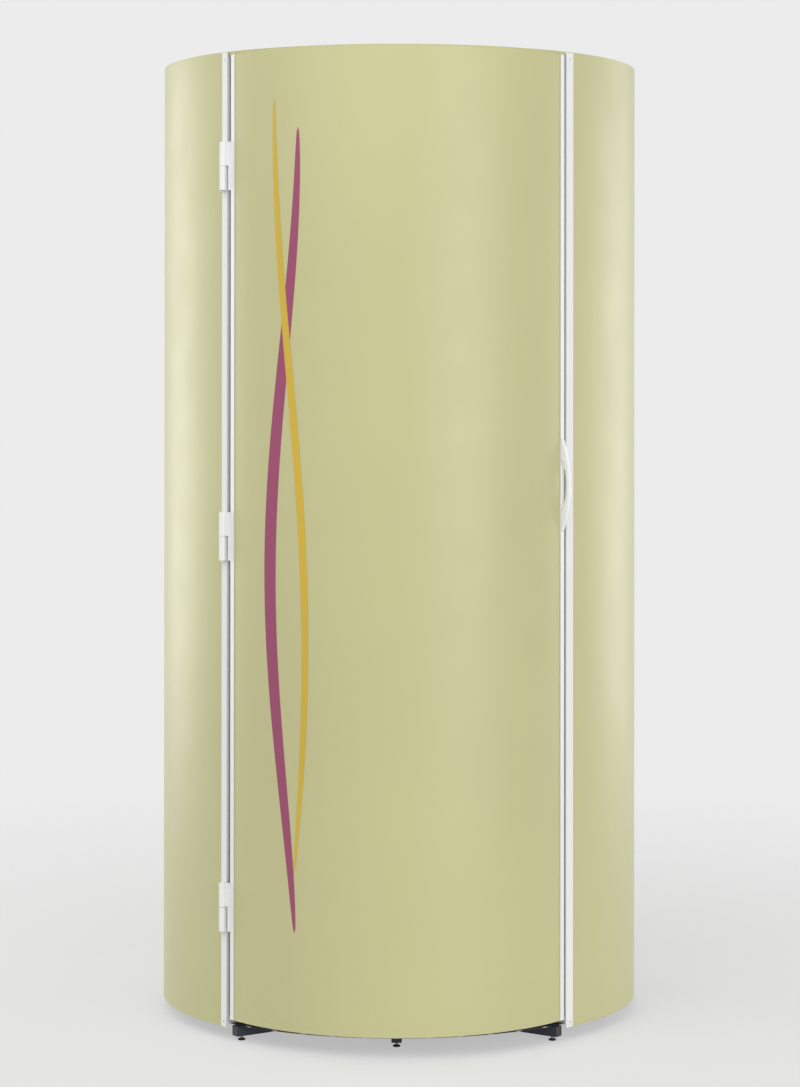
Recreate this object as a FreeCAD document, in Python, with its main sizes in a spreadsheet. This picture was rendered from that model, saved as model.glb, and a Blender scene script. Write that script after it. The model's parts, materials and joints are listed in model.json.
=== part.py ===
import FreeCAD, Part
import os
import re

import Sketcher
from FreeCAD import Placement, Rotation, Vector

# Vertical tanning booth: a drum-shaped cabin on levelling feet, entered through one bulged door.
# Millimetres and degrees. Z is up, the origin is on the floor under the drum's axis, and the door
# faces -Y. Angles round the drum count from the front (0) towards +X.

DRIVING = {
    # drum
    "casing_radius": 535,
    "casing_bottom": 28,
    "casing_top": 2120.5,
    "roof_top": 2122,
    "skin": 1.5,
    "sheet": 1.5,
    # the door bulges out of the drum as an arc of a smaller circle
    "door_bulge": 44,
    "door_bottom": 46,
    "door_top": 2114.5,
    "door_plate_room": 4,
    "sheet_room": 0.3,
    # angles round the drum
    "door_half": 41.85,
    "jamb_half": 43.05,
    "upright_half": 135,
    "seam_half": 0.15,
    # aluminium edge profiles of the door and its frame
    "door_strip": 13,
    "jamb_strip": 16,
    "jamb_lip": 4.8,
    "strip_face": 536.6,
    "under_lip": 531.7,
    "profile_inner": 436,
    "profile_wall": 2.5,
    "profile_lip": 12,
    "rail_lip": 444.5,
    "groove_floor": 3.8,
    "groove_room": 0.2,
    "arc_drop": 0.1,
    "seal_width": 26,
    "seal_bulge": 6.5,
    # clear inner wall and the lamps behind it
    "wall_inner": 438,
    "wall_outer": 441,
    "lamp_circle": 467,
    "lamp_radius": 19,
    "lamp_glass": 1,
    "lamp_length": 1763,
    "cabin_lamps": 27,
    "cabin_lamp_pitch": 10,
    "door_lamps": 7,
    "door_lamp_pitch": 10.4,
    "holder_width": 26,
    "holder_depth": 30,
    "reflector_radius": 497,
    "reflector_sheet": 1,
    # rails and rings
    "rail_inner": 447,
    "rail_radius": 507.5,
    "rail_level": 61.5,
    "ring_radius": 533.2,
    "ring_inner": 511,
    "ring_sheet": 3,
    "upright_width": 40,
    "upright_lip": 10,
    # floor and ceiling
    "deck_level": 32,
    "deck_sheet": 2,
    "deck_radius": 520,
    "platform_radius": 434,
    "platform_level": 58,
    "mat_radius": 424,
    "mat_sheet": 3,
    "ceiling_level": 1890.5,
    "fascia_radius": 432.4,
    "grille_radius": 140,
    "grille_rim": 12,
    "grille_slots": 9,
    "grille_slot": 18,
    "grille_pitch": 28,
    # base tubes: one front to rear, and two arms on each side of it
    "base_turn": 0,
    "tube": 22,
    "tube_wall": 2,
    "tube_bottom": 10,
    "beam_reach": 460,
    "beam_foot": 450,
    "arm_meet": 155,
    "arm_turn": 55,
    "arm_reach": 422,
    "arm_foot": 407,
    "plug_cap": 2,
    # levelling feet
    "foot_radius": 8,
    "foot_disc": 4.5,
    "stud_radius": 3,
    "stud_room": 0.1,
    "stud_top": 25.5,
    "insert_radius": 5,
    "insert_height": 4,
    # hinges
    "hinge_turn": 43.6,
    "hinge_axis": 544.2,
    "barrel_radius": 7,
    "hinge_height": 104,
    "hinge_middle": 1081,
    "hinge_spacing": 795,
    "pin_radius": 3,
    "pin_clearance": 0.05,
    "washer": 1,
    "leaf": 3,
    "leaf_near": 512,
    # bow handle
    "handle_middle": 1192,
    "handle_height": 205,
    "handle_gap": 112,
    "handle_rise": 19,
    "handle_bow": 7,
    "handle_width": 10,
    # door catches
    "catch_depth": 7.2,
    "catch_near": 455,
    "catch_width": 35,
    "catch_height": 40,
    "catch_bottom": 80,
    "catch_top": 2040,
    # duct collar and cable gland on the roof
    "collar_radius": 125,
    "collar_height": 30,
    "collar_flange": 14,
    "gland_reach": 400,
    "gland_bore": 8,
    "gland_thread": 12,
    "gland_nut": 17,
    # fan
    "shroud_radius": 127.5,
    "shroud_bottom": 2030,
    "rotor_level": 2066,
    "rotor_radius": 116,
    "hub_radius": 40,
    "hub_height": 38,
    "hub_roof": 6,
    "blade_count": 6,
    "blade_pitch": 34,
    "blade_chord": 70,
    "root_width": 34,
    "blade_camber": 6,
    "blade_thickness": 3,
    "motor_radius": 46,
    "motor_height": 32,
    "shaft_radius": 5,
    "bracket_level": 2036,
    "bracket_sheet": 3,
    "bracket_width": 14,
    # ballasts and supply box over the ceiling
    "ballast_count": 11,
    "ballast_pitch": 30,
    "ballast_width": 60,
    "ballast_height": 42,
    "ballast_near": 190,
    "ballast_far": 420,
    "supply_width": 150,
    "supply_depth": 170,
    "supply_height": 160,
    # control pod
    "pod_level": 1250,
    "pod_width": 56,
    "pod_height": 120,
    "pod_face": 410,
    "button_radius": 11,
    "button_room": 0.6,
    "button_spacing": 54,
    "button_rise": 5,
    "button_depth": 14,
    # service panel's vents and screw heads
    "vent_length": 80,
    "vent_height": 8,
    "vent_turn": 7,
    "vent_level": 150,
    "vent_pitch": 26,
    "vent_rows": 3,
    "screw_head": 4,
    "screw_height": 2,
    "screw_inset": 1.2,
    "screw_level": 120,
    "screw_pitch": 930,
    "screw_rows": 3,
}

doc = FreeCAD.newDocument("TanningBooth")
sizes = doc.addObject("Spreadsheet::Sheet", "Sizes")
for row, (alias, number) in enumerate(DRIVING.items(), start=1):
    sizes.set(f"A{row}", alias)
    sizes.set(f"B{row}", str(number))
    sizes.setAlias(f"B{row}", alias)
doc.recompute()

WORD = re.compile(r"[a-z][a-z_]+")
parts = []


def bound(text):
    """The expression with each driving dimension pointed at its cell of the sheet."""
    return WORD.sub(lambda m: f"Sizes.{m[0]}" if m[0] in DRIVING else m[0], str(text))


def value(text):
    """What the expression comes to, as a number."""
    return float(sizes.evalExpression(bound(text)))


def bind(thing, field, text):
    """Ties a property to an expression in the driving dimensions."""
    thing.setExpression(field, bound(text))


# ---------------------------------------------------------------- bodies and sketches


def new_body(label, turn=0, reach=0, heading=None):
    """A sub-part whose own frame is turned, and stands out from the drum's axis at a heading."""
    heading = turn if heading is None else heading
    body = doc.addObject("PartDesign::Body", label)
    body.Label = label
    body.Placement = Placement(Vector(0, 0, 0), Rotation(Vector(0, 0, 1), 1))
    bind(body, "Placement.Rotation.Angle", turn)
    bind(body, "Placement.Base.x", f"({reach}) * sin({heading})")
    bind(body, "Placement.Base.y", f"-({reach}) * cos({heading})")
    parts.append(body)
    return body


def origin(body, role):
    return next(f for f in body.Origin.OriginFeatures if f.Role == role)


def new_sketch(body, role, offset=0, turn=0):
    """A sketch on an origin plane, moved along its normal and turned about the body's Z."""
    flat = role == "XY_Plane"
    axis = Vector(0, 0, 1) if flat else Vector(0, 1, 0)
    sketch = body.newObject("Sketcher::SketchObject", "Sketch")
    sketch.AttachmentSupport = (origin(body, role), [""])
    sketch.MapMode = "FlatFace"
    sketch.AttachmentOffset = Placement(Vector(0, 0, 0), Rotation(axis, 1))
    bind(sketch, "AttachmentOffset.Base.x", "0" if flat else f"({offset}) * sin({turn})")
    bind(sketch, "AttachmentOffset.Base.z", offset if flat else f"({offset}) * cos({turn})")
    bind(sketch, "AttachmentOffset.Rotation.Angle", turn)
    return sketch


def hold(sketch, index, end, spot):
    """Fixes a point of the sketch at the spot its two expressions give."""
    for kind, text in zip(("DistanceX", "DistanceY"), spot):
        distance = Sketcher.Constraint(kind, -1, 1, index, end, value(text))
        number = sketch.addConstraint(distance)
        bind(sketch, f"Constraints[{number}]", text)


def hold_radius(sketch, index, text):
    number = sketch.addConstraint(Sketcher.Constraint("Radius", index, value(text)))
    bind(sketch, f"Constraints[{number}]", text)


def point(spot):
    return Vector(value(spot[0]), value(spot[1]), 0)


def draw_polygon(sketch, corners):
    first = sketch.GeometryCount
    count = len(corners)
    for k in range(count):
        sketch.addGeometry(Part.LineSegment(point(corners[k]), point(corners[(k + 1) % count])))
    for k in range(count):
        joint = Sketcher.Constraint("Coincident", first + k, 2, first + (k + 1) % count, 1)
        sketch.addConstraint(joint)
        hold(sketch, first + k, 1, corners[k])


def draw_circle(sketch, spot, radius):
    circle = Part.Circle(point(spot), Vector(0, 0, 1), value(radius))
    index = sketch.addGeometry(circle)
    hold_radius(sketch, index, radius)
    hold(sketch, index, 3, spot)


def draw_round(sketch, spot, radius, sides=None):
    """A circle, or where sides are given a regular polygon whose corners lie on it."""
    if sides is None:
        draw_circle(sketch, spot, radius)
        return
    angles = [f"(360 * {k} / {sides})" for k in range(sides)]
    draw_polygon(sketch, [
        (f"{spot[0]} + ({radius}) * cos{a}", f"{spot[1]} + ({radius}) * sin{a}") for a in angles
    ])


def draw_round(sketch, spot, radius, sides=None):
    """A circle, or where sides are given a regular polygon whose corners lie on it."""
    if sides is None:
        draw_circle(sketch, spot, radius)
        return
    angles = [f"(360 * {k} / {sides})" for k in range(sides)]
    draw_polygon(sketch, [
        (f"{spot[0]} + ({radius}) * cos{a}", f"{spot[1]} + ({radius}) * sin{a}") for a in angles
    ])


def draw_round(sketch, spot, radius, sides=None):
    """A circle, or where sides are given a regular polygon whose corners lie on it."""
    if sides is None:
        draw_circle(sketch, spot, radius)
        return
    angles = [f"(360 * {k} / {sides})" for k in range(sides)]
    draw_polygon(sketch, [
        (f"{spot[0]} + ({radius}) * cos{a}", f"{spot[1]} + ({radius}) * sin{a}") for a in angles
    ])


def draw_round(sketch, spot, radius, sides=None):
    """A circle, or where sides are given a regular polygon whose corners lie on it."""
    if sides is None:
        draw_circle(sketch, spot, radius)
        return
    angles = [f"(360 * {k} / {sides})" for k in range(sides)]
    draw_polygon(sketch, [
        (f"{spot[0]} + ({radius}) * cos{a}", f"{spot[1]} + ({radius}) * sin{a}") for a in angles
    ])


def draw_round(sketch, spot, radius, sides=None):
    """A circle, or where sides are given a regular polygon whose corners lie on it."""
    if sides is None:
        draw_circle(sketch, spot, radius)
        return
    angles = [f"(360 * {k} / {sides})" for k in range(sides)]
    draw_polygon(sketch, [
        (f"{spot[0]} + ({radius}) * cos{a}", f"{spot[1]} + ({radius}) * sin{a}") for a in angles
    ])


def draw_round(sketch, spot, radius, sides=None):
    """A circle, or where sides are given a regular polygon whose corners lie on it."""
    if sides is None:
        draw_circle(sketch, spot, radius)
        return
    angles = [f"(360 * {k} / {sides})" for k in range(sides)]
    draw_polygon(sketch, [
        (f"{spot[0]} + ({radius}) * cos{a}", f"{spot[1]} + ({radius}) * sin{a}") for a in angles
    ])


def draw_round(sketch, spot, radius, sides=None):
    """A circle, or where sides are given a regular polygon whose corners lie on it."""
    if sides is None:
        draw_circle(sketch, spot, radius)
        return
    angles = [f"(360 * {k} / {sides})" for k in range(sides)]
    draw_polygon(sketch, [
        (f"{spot[0]} + ({radius}) * cos{a}", f"{spot[1]} + ({radius}) * sin{a}") for a in angles
    ])


def draw_line(sketch, start, end):
    index = sketch.addGeometry(Part.LineSegment(point(start), point(end)))
    hold(sketch, index, 1, start)
    hold(sketch, index, 2, end)


def draw_arc(sketch, start, middle, end, radius):
    """An arc through three spots, held by its ends and its radius."""
    bend = (point(middle) - point(start)).cross(point(end) - point(middle)).z
    if bend < 0:
        start, end = end, start
    index = sketch.addGeometry(Part.Arc(point(start), point(middle), point(end)))
    hold(sketch, index, 1, start)
    hold(sketch, index, 2, end)
    hold_radius(sketch, index, radius)


def arc_radius(chord, rise):
    return f"({chord}) ^ 2 / (8 * ({rise})) + ({rise}) / 2"


def plan(corners):
    """Spots given as (along the rim, out from the axis), for a sketch seen from above."""
    return [(x, f"-({y})") for x, y in corners]


def rectangle(x_low, x_high, y_low, y_high):
    return [(x_low, y_low), (x_high, y_low), (x_high, y_high), (x_low, y_high)]


# ---------------------------------------------------------------- features


def extrude(body, sketch, length, cut=False):
    feature = body.newObject("PartDesign::Pocket" if cut else "PartDesign::Pad", "Feature")
    feature.Profile = sketch
    bind(feature, "Length", length)
    return feature


def slab(body, corners, low, high, cut=False, turn=0):
    """A plan outline carried between two levels; a cut runs down from the upper one."""
    sketch = new_sketch(body, "XY_Plane", high if cut else low, turn)
    draw_polygon(sketch, plan(corners))
    return extrude(body, sketch, f"{high} - ({low})", cut)


def disc(body, spot, radius, low, high, cut=False, bore=None, turn=0, sides=None):
    """A round or many-sided slab or hole, with an optional bore through it."""
    sketch = new_sketch(body, "XY_Plane", high if cut else low, turn)
    draw_round(sketch, plan([spot])[0], radius, sides)
    if bore is not None:
        draw_round(sketch, plan([spot])[0], bore, sides)
    return extrude(body, sketch, f"{high} - ({low})", cut)


def peg(body, spot, radius, near, far, cut=False, turn=0, sides=None):
    """A round or many-sided bar or hole that lies along the body's outward direction."""
    sketch = new_sketch(body, "XZ_Plane", far if cut else near, turn)
    draw_round(sketch, spot, radius, sides)
    return extrude(body, sketch, f"{far} - ({near})", cut)


def around(body, features, count, angle=360):
    """Repeats the features round the body's Z."""
    pattern = body.newObject("PartDesign::PolarPattern", "Pattern")
    pattern.Originals = features
    pattern.Axis = (origin(body, "Z_Axis"), [""])
    bind(pattern, "Angle", angle)
    bind(pattern, "Occurrences", count)
    body.Tip = pattern
    return pattern


def upwards(body, features, count, length):
    """Repeats the features along Z, over the whole length."""
    pattern = body.newObject("PartDesign::LinearPattern", "Pattern")
    pattern.Originals = features
    pattern.Direction = (origin(body, "Z_Axis"), [""])
    bind(pattern, "Length", length)
    bind(pattern, "Occurrences", count)
    body.Tip = pattern
    return pattern


def bent_sheet(body, start, end, inner, outer, low, high):
    """A curved sheet between two angles round the drum."""
    sketch = new_sketch(body, "XZ_Plane", turn=f"{start} - 90")
    draw_polygon(sketch, rectangle(inner, outer, low, high))
    feature = body.newObject("PartDesign::Revolution", "Feature")
    feature.Profile = sketch
    feature.ReferenceAxis = (sketch, ["V_Axis"])
    bind(feature, "Angle", f"{end} - ({start})")


def folded_sheet(body, start, end, inner, outer, low, high, folds):
    """A sheet or plate folded into flats between two angles; its corners lie on both radii."""
    angles = [f"({start} + ({end} - ({start})) * {k} / {folds})" for k in range(folds + 1)]
    far = [(f"{outer} * sin{a}", f"{outer} * cos{a}") for a in angles]
    near = [(f"{inner} * sin{a}", f"{inner} * cos{a}") for a in reversed(angles)]
    slab(body, far + near, low, high)


def crescent(body, inner, outer, low, high):
    """A plate between two arcs, each a radius, a half angle and its centre ahead of the axis."""
    sketch = new_sketch(body, "XY_Plane", low)
    ends = []
    for radius, half, centre in (inner, outer):
        left, crown, right = plan([
            (f"-({radius}) * sin({half})", f"({radius}) * cos({half}) + {centre}"),
            (0, f"{radius} + {centre}"),
            (f"({radius}) * sin({half})", f"({radius}) * cos({half}) + {centre}"),
        ])
        draw_arc(sketch, left, crown, right, radius)
        ends.append((left, right))
    for near, far in zip(*ends):
        draw_line(sketch, near, far)
    extrude(body, sketch, f"{high} - ({low})")


def turn_of(length, radius):
    """The angle that a length takes up round a radius."""
    return f"(({length}) / ({radius}) * 180 / pi)"


# ---------------------------------------------------------------- base

HALF_TUBE = "tube / 2"
HALF_BORE = "(tube / 2 - tube_wall)"
TUBE_TOP = "tube_bottom + tube"
BORE_LEVELS = ("tube_bottom + tube_wall", f"{TUBE_TOP} - tube_wall")
DECK_TOP = "deck_level + deck_sheet"
FLOOR_SIDES = 48

# each arm: its direction, and where its middle line leaves the long beam
ARMS = {
    "front_right": ("arm_turn", "arm_meet"),
    "front_left": ("-arm_turn", "arm_meet"),
    "rear_right": ("(180 - arm_turn)", "-arm_meet"),
    "rear_left": ("(arm_turn - 180)", "-arm_meet"),
}
CROSS_BEAMS = {
    "base_cross_beam_right": ("front_right", "rear_left"),
    "base_cross_beam_left": ("front_left", "rear_right"),
}


def on_arm(arm, corners):
    """Corners given across and along an arm, in the frame of the base."""
    turn, meet = ARMS[arm]
    along = f"sin({turn})"
    across = f"cos({turn})"
    return [
        (f"({x}) * {across} + ({y}) * {along}", f"{meet} + ({y}) * {across} - ({x}) * {along}")
        for x, y in corners
    ]


def mitre(arm, half):
    """How far along an arm the tube face at -half or +half meets the long beam's side."""
    side = 1 if arm.endswith("right") else -1
    turn = ARMS[arm][0]
    return f"({side} * {HALF_TUBE} - ({half}) * cos({turn})) / sin({turn})"


def foot_hole(beam, spot):
    disc(beam, spot, "insert_radius", "tube_bottom", BORE_LEVELS[0], cut=True, sides=6)


def base_beams():
    """A square tube runs front to rear, and two mitred arms leave each of its sides."""
    beam = new_body("base_beam_long", "base_turn")
    slab(beam, rectangle(f"-{HALF_TUBE}", HALF_TUBE, "-beam_reach", "beam_reach"), "tube_bottom", TUBE_TOP)
    slab(beam, rectangle(f"-{HALF_BORE}", HALF_BORE, "-beam_reach", "beam_reach"), *BORE_LEVELS, cut=True)
    foot_hole(beam, (0, "beam_foot"))
    foot_hole(beam, (0, "-beam_foot"))
    for label, arms in CROSS_BEAMS.items():
        pair = new_body(label, "base_turn")
        for arm in arms:
            outline = [
                (HALF_TUBE, mitre(arm, HALF_TUBE)),
                (HALF_TUBE, "arm_reach"),
                (f"-{HALF_TUBE}", "arm_reach"),
                (f"-{HALF_TUBE}", mitre(arm, f"-{HALF_TUBE}")),
            ]
            bore = rectangle(f"-{HALF_BORE}", HALF_BORE, "1.5 * tube", "arm_reach")
            slab(pair, on_arm(arm, outline), "tube_bottom", TUBE_TOP)
            slab(pair, on_arm(arm, bore), *BORE_LEVELS, cut=True)
            foot_hole(pair, on_arm(arm, [(0, "arm_foot")])[0])


def beam_ends():
    """A plastic plug in each tube end, and a threaded insert over each foot."""
    plugs = new_body("beam_end_plugs", "base_turn")
    inserts = new_body("foot_inserts", "base_turn")
    cap = rectangle(f"-{HALF_TUBE}", HALF_TUBE, "arm_reach", "arm_reach + plug_cap")
    caps = [on_arm(arm, cap) for arm in ARMS]
    spots = [on_arm(arm, [(0, "arm_foot")])[0] for arm in ARMS]
    for side in (1, -1):
        end = f"{side} * beam_reach"
        caps.append(rectangle(f"-{HALF_TUBE}", HALF_TUBE, end, f"{end} + {side} * plug_cap"))
        spots.append((0, f"{side} * beam_foot"))
    for corners in caps:
        slab(plugs, corners, "tube_bottom", TUBE_TOP)
    for spot in spots:
        disc(
            inserts, spot, "insert_radius", "tube_bottom", "tube_bottom + insert_height",
            bore="stud_radius + stud_room", sides=6,
        )


def feet():
    """Six levelling feet: a pad with a threaded stud that screws into its insert."""
    across, out = on_arm("front_right", [(0, "arm_foot")])[0]
    arm_radius = f"sqrt(({across}) ^ 2 + ({out}) ^ 2)"
    arm_angle = f"atan(({across}) / ({out})) / 1 deg"
    spots = {
        "front": ("base_turn", "beam_foot"),
        "front_right": (f"base_turn + {arm_angle}", arm_radius),
        "front_left": (f"base_turn - {arm_angle}", arm_radius),
        "rear": ("base_turn + 180", "beam_foot"),
        "rear_right": (f"base_turn + 180 - {arm_angle}", arm_radius),
        "rear_left": (f"base_turn + 180 + {arm_angle}", arm_radius),
    }
    for name, (heading, reach) in spots.items():
        foot = new_body(f"foot_{name}", "base_turn", reach, heading)
        disc(foot, (0, 0), "foot_radius", 0, "foot_disc", sides=12)
        disc(foot, (0, 0), "stud_radius", "foot_disc", "stud_top", sides=6)


def floor():
    """Round steel deck on the beams, then a raised board to stand on with a rubber mat."""
    layers = (
        ("base_deck", "deck_radius", "deck_level", DECK_TOP),
        ("standing_platform", "platform_radius", DECK_TOP, "platform_level"),
        ("floor_mat", "mat_radius", "platform_level", "platform_level + mat_sheet"),
    )
    for label, radius, low, high in layers:
        disc(new_body(label), (0, 0), radius, low, high, sides=FLOOR_SIDES)


# ---------------------------------------------------------------- the door's bulge

APEX = "(casing_radius + door_bulge)"
DOOR_CENTRE = f"(({APEX} ^ 2 - casing_radius ^ 2) / (2 * ({APEX} - casing_radius * cos(door_half))))"
DOOR_RADIUS = f"({APEX} - {DOOR_CENTRE})"


def bulge_slope(inset):
    """How much steeper than the drum the bulge runs, at an inset from the door's edge."""
    return f"(asin(({DOOR_CENTRE} * sin(door_half) - ({inset})) / {DOOR_RADIUS}) / 1 deg)"


def bulge_arc(depth, inset):
    """An arc at a depth under the door's skin, that stops at an inset from each edge."""
    radius = f"({DOOR_RADIUS} - ({depth}))"
    half = f"door_half + asin(({DOOR_CENTRE} * sin(door_half) - ({inset})) / {radius}) / 1 deg"
    return (radius, half, DOOR_CENTRE)


# ---------------------------------------------------------------- frame

WALL_TOP = "ceiling_level - sheet"
DOOR_LID = "door_top - sheet"


def past_jamb(length, radius):
    """The angle at which a piece starts, when it clears the jamb's web by a length."""
    return f"(jamb_half + {turn_of(length, radius)})"


def round_the_back(start):
    """From one jamb round the back to the other, for a piece that starts at the angle given."""
    return (start, f"(360 - {start})")


def profile_outline(side, strip, slope=0, lip=0):
    """Extruded edge profile: outer strip, web at the gap and a groove for each wall."""
    def spot(t, out, rise=slope):
        return (f"{side} * ({t})", f"{out} + ({rise}) * ({t})")
    outer_groove = ("casing_radius + groove_room", "casing_radius - skin - groove_room - arc_drop")
    inner_groove = ("wall_outer + groove_room", "wall_inner - groove_room")
    outline = [
        spot(f"-{lip}", "strip_face", 0),
        spot(0, "strip_face"),
        spot(strip, "strip_face"),
        spot(strip, outer_groove[0]),
        spot("groove_floor", outer_groove[0]),
        spot("groove_floor", outer_groove[1]),
        spot(strip, outer_groove[1]),
        spot(strip, "under_lip"),
        spot("profile_wall", "under_lip"),
        spot("profile_wall", "rail_lip", 0),
        spot("profile_lip", "rail_lip", 0),
        spot("profile_lip", inner_groove[0], 0),
        spot("groove_floor", inner_groove[0], 0),
        spot("groove_floor", inner_groove[1], 0),
        spot("profile_lip", inner_groove[1], 0),
        spot("profile_lip", "profile_inner", 0),
        spot(0, "profile_inner", 0),
        spot(0, "under_lip", 0),
        spot(f"-{lip}", "under_lip", 0),
    ]
    return outline if lip else outline[1:-2]


def jambs():
    """The two fixed profiles; each stands on the deck, and only its strip reaches lower."""
    for label, side, lip in (("jamb_handle_side", 1, "jamb_lip"), ("jamb_hinge_side", -1, 0)):
        jamb = new_body(label, f"{side} * jamb_half")
        slab(jamb, profile_outline(side, "jamb_strip", lip=lip), "casing_bottom", "casing_top")
        notch = rectangle("-jamb_strip - 1", "jamb_strip + 1", "profile_inner - 1", "ring_radius")
        slab(jamb, notch, "casing_bottom", DECK_TOP, cut=True)


def jamb_seals():
    """A half-round rubber strip along each jamb's face in the gap."""
    high = "(ring_radius - 5)"
    low = f"({high} - seal_width)"
    seals = new_body("jamb_seals")
    for side in (1, -1):
        sketch = new_sketch(seals, "XY_Plane", "door_bottom + 5", f"{side} * jamb_half")
        start, middle, end = plan([(0, low), (f"-{side} * seal_bulge", f"({low} + {high}) / 2"), (0, high)])
        draw_line(sketch, end, start)
        draw_arc(sketch, start, middle, end, arc_radius("seal_width", "seal_bulge"))
        extrude(seals, sketch, "door_top - door_bottom - 10")


RING_FOLDS = 24
RAIL_FOLDS = 24


def rings():
    """Flat steel rings inside the casing's lower and upper edge, from jamb to jamb."""
    rings = new_body("frame_rings")
    span = round_the_back(past_jamb("jamb_strip + 1", "ring_inner"))
    for low in (DECK_TOP, "casing_top - ring_sheet"):
        folded_sheet(rings, *span, "ring_inner", "ring_radius", low, f"{low} + ring_sheet", RING_FOLDS)


def uprights():
    """Two folded posts behind, on which the casing panels meet."""
    half = "upright_width / 2"
    near, far = "rail_radius + 0.5", "ring_radius - 0.2"
    outline = [
        (f"-{half}", far),
        (half, far),
        (half, near),
        (f"{half} - upright_lip", near),
        (f"{half} - upright_lip", f"{near} + sheet"),
        (f"{half} - sheet", f"{near} + sheet"),
        (f"{half} - sheet", f"{far} - sheet"),
        (f"-{half} + sheet", f"{far} - sheet"),
        (f"-{half} + sheet", f"{near} + sheet"),
        (f"-{half} + upright_lip", f"{near} + sheet"),
        (f"-{half} + upright_lip", near),
        (f"-{half}", near),
    ]
    posts = new_body("rear_uprights")
    for turn in ("upright_half", "-upright_half"):
        slab(posts, outline, f"{DECK_TOP} + ring_sheet", "casing_top - ring_sheet", turn=turn)


def lamp_rails():
    """The body's lower lamp rail, which stands on a leg, and the upper one under the ceiling."""
    rails = new_body("lamp_rails")
    span = round_the_back(past_jamb("profile_wall + sheet_room", "rail_inner"))
    plate = "rail_level - sheet"
    folded_sheet(rails, *span, "rail_inner", "rail_radius", plate, "rail_level", RAIL_FOLDS)
    folded_sheet(rails, *span, "(rail_radius - sheet)", "rail_radius", DECK_TOP, plate, RAIL_FOLDS)
    folded_sheet(rails, *span, "rail_inner", "rail_radius", WALL_TOP, "ceiling_level", RAIL_FOLDS)


def door_crossmembers():
    """Plates between the door's two profiles, with a ledge that carries the clear wall."""
    plates = new_body("door_crossmembers")
    web = "profile_wall + sheet_room"
    rim = bulge_arc("door_plate_room", web)
    inner = ("(rail_lip + sheet_room)", f"door_half - {turn_of(web, 'rail_lip')}", 0)
    for level in ("rail_level - sheet", WALL_TOP, DOOR_LID):
        crescent(plates, inner, rim, level, f"{level} + sheet")
    edge = f"(door_half - {turn_of('profile_lip + sheet_room', 'profile_inner')})"
    ledge = ("profile_inner", "(rail_lip + 1)")
    for level in ("rail_level - sheet", WALL_TOP):
        folded_sheet(plates, f"-{edge}", edge, *ledge, level, f"{level} + sheet", 6)


# ---------------------------------------------------------------- lamps and clear walls

HOLDER_HEIGHT = "(ceiling_level - sheet - rail_level - lamp_length) / 2"
LAMP_BOTTOM = f"rail_level + {HOLDER_HEIGHT}"


def lamp_bank(label, middle, pitch, count):
    """A bank of lamp tubes, evenly spaced about its middle angle."""
    bank = new_body(label, f"{middle} - {pitch} * ({count} - 1) / 2")
    tube = disc(
        bank, (0, "lamp_circle"), "lamp_radius", LAMP_BOTTOM, f"{LAMP_BOTTOM} + lamp_length",
        bore="lamp_radius - lamp_glass", sides=8,
    )
    around(bank, [tube], count, f"{pitch} * ({count} - 1)")


def lamp_holders(label, middle, pitch, count):
    """Block-shaped lamp holders, one under and one over each lamp."""
    holders = new_body(label, f"{middle} - {pitch} * ({count} - 1) / 2")
    block = rectangle(
        "-holder_width / 2", "holder_width / 2",
        "lamp_circle - holder_depth / 2", "lamp_circle + holder_depth / 2",
    )
    lower = slab(holders, block, "rail_level", LAMP_BOTTOM)
    upper = slab(holders, block, f"{LAMP_BOTTOM} + lamp_length", WALL_TOP)
    around(holders, [lower, upper], count, f"{pitch} * ({count} - 1)")


def lamps():
    lamp_bank("cabin_lamps", "180", "cabin_lamp_pitch", "cabin_lamps")
    lamp_holders("cabin_lamp_holders", "180", "cabin_lamp_pitch", "cabin_lamps")
    lamp_bank("door_lamps", "0", "door_lamp_pitch", "door_lamps")
    lamp_holders("door_lamp_holders", "0", "door_lamp_pitch", "door_lamps")


def walls():
    """Clear inner walls and the folded reflectors behind the lamps, in three bays and the door."""
    first = past_jamb("groove_floor + 1", "wall_inner")
    seam = turn_of("profile_wall + 1", "wall_inner")
    bays = (
        (first, f"(upright_half - {seam})"),
        (f"(upright_half + {seam})", f"(360 - upright_half - {seam})"),
        (f"(360 - upright_half + {seam})", f"(360 - {first})"),
    )
    clear = ("wall_inner", "wall_outer")
    back = ("(reflector_radius - reflector_sheet)", "reflector_radius")
    clear_walls = new_body("clear_walls")
    reflectors = new_body("reflectors")
    for start, end in bays:
        bent_sheet(clear_walls, start, end, *clear, DECK_TOP, WALL_TOP)
        folded_sheet(reflectors, start, end, *back, "rail_level", WALL_TOP, 9)
    edge = f"(door_half - {turn_of('groove_floor + 1', 'wall_inner')})"
    bent_sheet(new_body("door_clear_wall"), f"-{edge}", edge, *clear, "rail_level", WALL_TOP)
    folded_sheet(new_body("door_reflector"), f"-{edge}", edge, *back, "rail_level", WALL_TOP, 8)


def mullions():
    """H-section strips that hold the clear walls' edges behind."""
    flange, web = 13, 1.5
    inner = ("platform_radius + 0.5", "wall_inner - 0.5")
    outer = ("wall_outer + 0.5", "wall_outer + 3")
    outline = [
        (-flange, inner[0]), (flange, inner[0]), (flange, inner[1]), (web, inner[1]),
        (web, outer[0]), (flange, outer[0]), (flange, outer[1]), (-flange, outer[1]),
        (-flange, outer[0]), (-web, outer[0]), (-web, inner[1]), (-flange, inner[1]),
    ]
    strips = new_body("mullions")
    for turn in ("upright_half", "-upright_half"):
        slab(strips, outline, DECK_TOP, WALL_TOP, turn=turn)


# ---------------------------------------------------------------- casing


def sheet_hole(panel, corners, turn):
    """A cut-out through a curved panel, seen square on at the angle given."""
    sketch = new_sketch(panel, "XZ_Plane", "casing_radius + 1", turn)
    draw_polygon(sketch, corners)
    return extrude(panel, sketch, "4 * skin", cut=True)


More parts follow.
